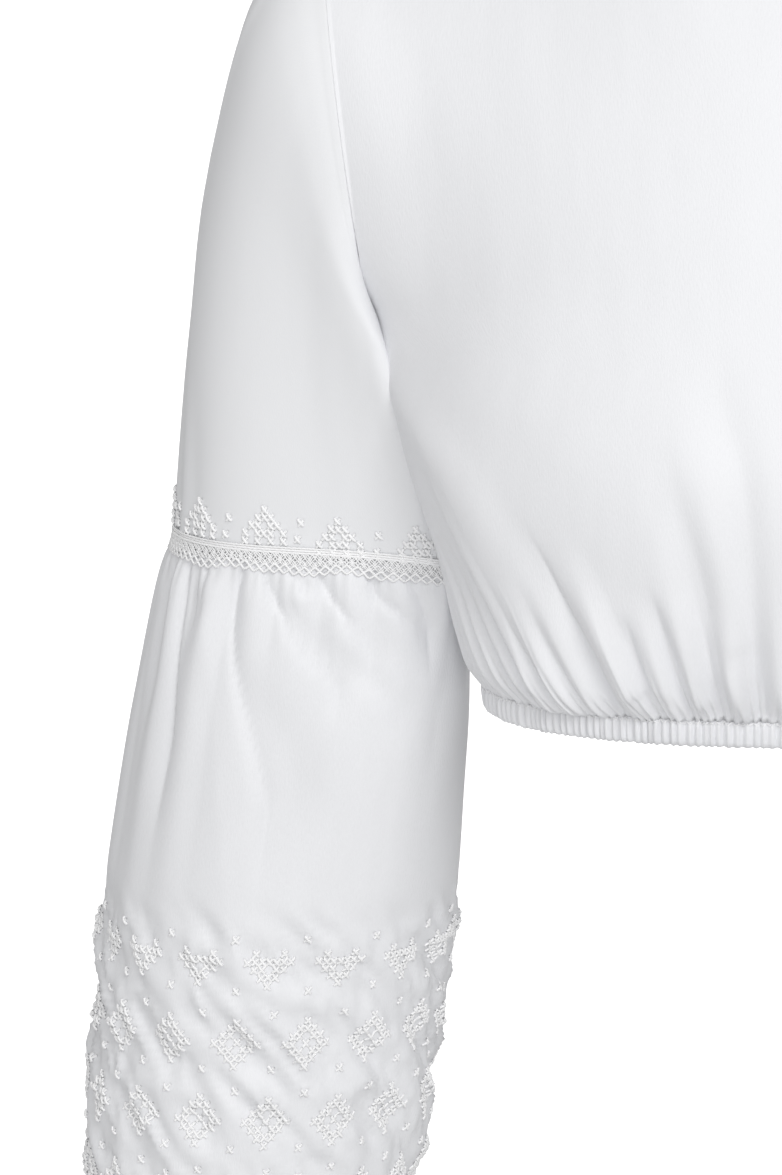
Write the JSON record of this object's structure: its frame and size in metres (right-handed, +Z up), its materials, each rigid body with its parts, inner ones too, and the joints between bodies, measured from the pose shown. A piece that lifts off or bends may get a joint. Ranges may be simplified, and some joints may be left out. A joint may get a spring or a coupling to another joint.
{
  "type": "dirndl blouse with both sleeves, hollow as worn",
  "caption": "Cropped dirndl blouse in white sateen, gathered under the bust, with lace-trimmed balloon sleeves embroidered with hearts and diamonds.",
  "frame": {"origin": "midway between the two shoulder points, where the wearer's shoulders hold the blouse up", "axes": "+Z up, front towards -Y, the wearer's right side towards -X"},
  "size_m": [0.6212, 0.2401, 0.6484],
  "materials": {
    "sateen": "white satin-weave cotton with a soft sheen",
    "sheer": "fine white cotton with a satin face",
    "lace": "matt white cotton lace"
  },
  "bodies": {
    "root": {"front": "sateen", "back": "sateen", "sleeve_upper_right": "sheer", "sleeve_upper_left": "sheer", "sleeve_lower_right": "sateen", "sleeve_lower_left": "sateen", "lace_trim_right": "lace", "lace_trim_left": "lace", "cuff_right": "sateen", "cuff_left": "sateen", "hem_casing": "sateen", "neck_binding": "sateen"}
  },
  "joints": []
}
